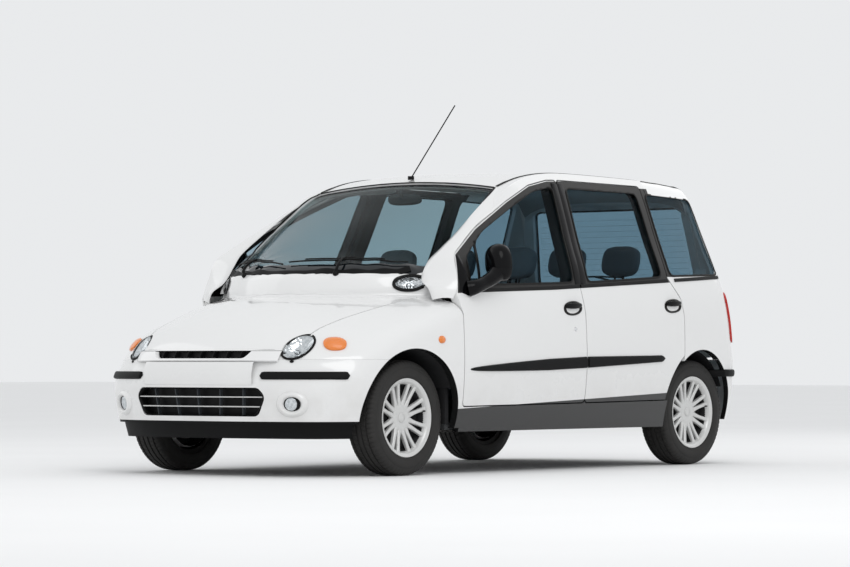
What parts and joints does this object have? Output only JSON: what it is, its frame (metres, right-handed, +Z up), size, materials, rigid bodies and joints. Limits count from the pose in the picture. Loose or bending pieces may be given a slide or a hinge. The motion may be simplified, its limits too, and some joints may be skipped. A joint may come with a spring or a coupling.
{
  "type": "compact minivan",
  "caption": "Tall compact family car with hinged doors, bonnet and tailgate, steered front wheels, wheels that roll and a glazed seating cabin.",
  "frame": {"origin": "on the ground, under the middle of the car's length and width", "axes": "+Z up, -Y towards the nose, +X towards the car's left side"},
  "size_m": [2.0296, 3.962, 2.0594],
  "materials": {
    "body_paint": "gloss white paint",
    "tinted_glass": "blue-grey tinted glass",
    "clear_lens": "clear moulded lens over a bright reflector",
    "red_lens": "red and orange moulded lens",
    "dark_plastic": "grained dark plastic",
    "gloss_black": "gloss black",
    "seat_cloth": "woven grey cloth",
    "chassis_paint": "satin black underseal",
    "cast_iron": "as cast",
    "wheel_silver": "silver wheel paint",
    "tyre_rubber": "tyre black"
  },
  "bodies": {
    "root": {"aerial": "dark_plastic", "body_side_left": "body_paint", "body_side_right": "body_paint", "bulkhead": "chassis_paint", "centre_posts": "dark_plastic", "dashboard": "dark_plastic", "engine": "cast_iron", "exhaust": "chassis_paint", "floor_pan": "chassis_paint", "front_bumper": "body_paint", "front_seats": "seat_cloth", "front_skirt": "dark_plastic", "front_subframe": "chassis_paint", "front_wings": "body_paint", "fuel_tank": "chassis_paint", "headlamps": "clear_lens", "high_beam_lamps": "clear_lens", "quarter_panels": "body_paint", "quarter_windows": "tinted_glass", "radiator_grille": "dark_plastic", "rear_axle": "chassis_paint", "rear_bumper": "body_paint", "rear_seats": "seat_cloth", "roof_panel": "body_paint", "scuttle_panel": "body_paint", "tail_lamps": "red_lens", "wheel_arch_liners": "dark_plastic", "windscreen": "tinted_glass"},
    "bonnet": {"bonnet": "body_paint"},
    "tailgate": {"tailgate": "body_paint", "tailgate_glass": "tinted_glass"},
    "front_door_left": {"front_door_left": "body_paint", "front_door_glass_left": "tinted_glass", "door_mirror_left": "gloss_black"},
    "front_door_right": {"front_door_right": "body_paint", "front_door_glass_right": "tinted_glass", "door_mirror_right": "gloss_black"},
    "rear_door_left": {"rear_door_left": "body_paint", "rear_door_glass_left": "tinted_glass"},
    "rear_door_right": {"rear_door_right": "body_paint", "rear_door_glass_right": "tinted_glass"},
    "knuckle_left": {"knuckle_left": "cast_iron"},
    "knuckle_right": {"knuckle_right": "cast_iron"},
    "steering_wheel": {"steering_wheel": "dark_plastic"},
    "front_wheel_left": {"front_rim_left": "wheel_silver", "front_tyre_left": "tyre_rubber"},
    "front_wheel_right": {"front_rim_right": "wheel_silver", "front_tyre_right": "tyre_rubber"},
    "rear_wheel_left": {"rear_rim_left": "wheel_silver", "rear_tyre_left": "tyre_rubber"},
    "rear_wheel_right": {"rear_rim_right": "wheel_silver", "rear_tyre_right": "tyre_rubber"}
  },
  "joints": [
    {"name": "front_door_left_hinge", "type": "hinge", "parent": "root", "child": "front_door_left", "pos_m": [0.9275, -0.874, 0.65], "axis": [0, 0, -1], "range_deg": [0, 68]},
    {"name": "rear_door_left_hinge", "type": "hinge", "parent": "root", "child": "rear_door_left", "pos_m": [0.9275, 0.2385, 0.65], "axis": [0, 0, -1], "range_deg": [0, 68]},
    {"name": "front_door_right_hinge", "type": "hinge", "parent": "root", "child": "front_door_right", "pos_m": [-0.9275, -0.874, 0.65], "axis": [0, 0, 1], "range_deg": [0, 68]},
    {"name": "rear_door_right_hinge", "type": "hinge", "parent": "root", "child": "rear_door_right", "pos_m": [-0.9275, 0.2385, 0.65], "axis": [0, 0, 1], "range_deg": [0, 68]},
    {"name": "bonnet_hinge", "type": "hinge", "parent": "root", "child": "bonnet", "pos_m": [0, -0.957, 0.956], "axis": [-1, 0, 0], "range_deg": [0, 48]},
    {"name": "tailgate_hinge", "type": "hinge", "parent": "root", "child": "tailgate", "pos_m": [0, 1.7152, 1.5822], "axis": [1, 0, 0], "range_deg": [0, 78]},
    {"name": "steer_left", "type": "hinge", "parent": "root", "child": "knuckle_left", "pos_m": [0.6855, -1.262, 0.3035], "axis": [0, 0, 1], "range_deg": [-33, 33]},
    {"name": "steer_right", "type": "hinge", "parent": "root", "child": "knuckle_right", "pos_m": [-0.6855, -1.262, 0.3035], "axis": [0, 0, 1], "range_deg": [-33, 33]},
    {"name": "steering_wheel_turn", "type": "hinge", "parent": "root", "child": "steering_wheel", "pos_m": [0.43, -0.404, 0.925], "axis": [0, 0.8829, 0.4695], "range_deg": [-528, 528]},
    {"name": "front_wheel_left_spin", "type": "hinge", "parent": "knuckle_left", "child": "front_wheel_left", "pos_m": [0.7555, -1.262, 0.3035], "axis": [1, 0, 0], "continuous": true},
    {"name": "rear_wheel_left_spin", "type": "hinge", "parent": "root", "child": "rear_wheel_left", "pos_m": [0.754, 1.404, 0.3035], "axis": [1, 0, 0], "continuous": true},
    {"name": "front_wheel_right_spin", "type": "hinge", "parent": "knuckle_right", "child": "front_wheel_right", "pos_m": [-0.7555, -1.262, 0.3035], "axis": [1, 0, 0], "continuous": true},
    {"name": "rear_wheel_right_spin", "type": "hinge", "parent": "root", "child": "rear_wheel_right", "pos_m": [-0.754, 1.404, 0.3035], "axis": [1, 0, 0], "continuous": true}
  ],
  "couplings": [
    {"joint": "steer_right", "follows": "steer_left", "ratio": 1},
    {"joint": "steering_wheel_turn", "follows": "steer_left", "ratio": 16}
  ]
}
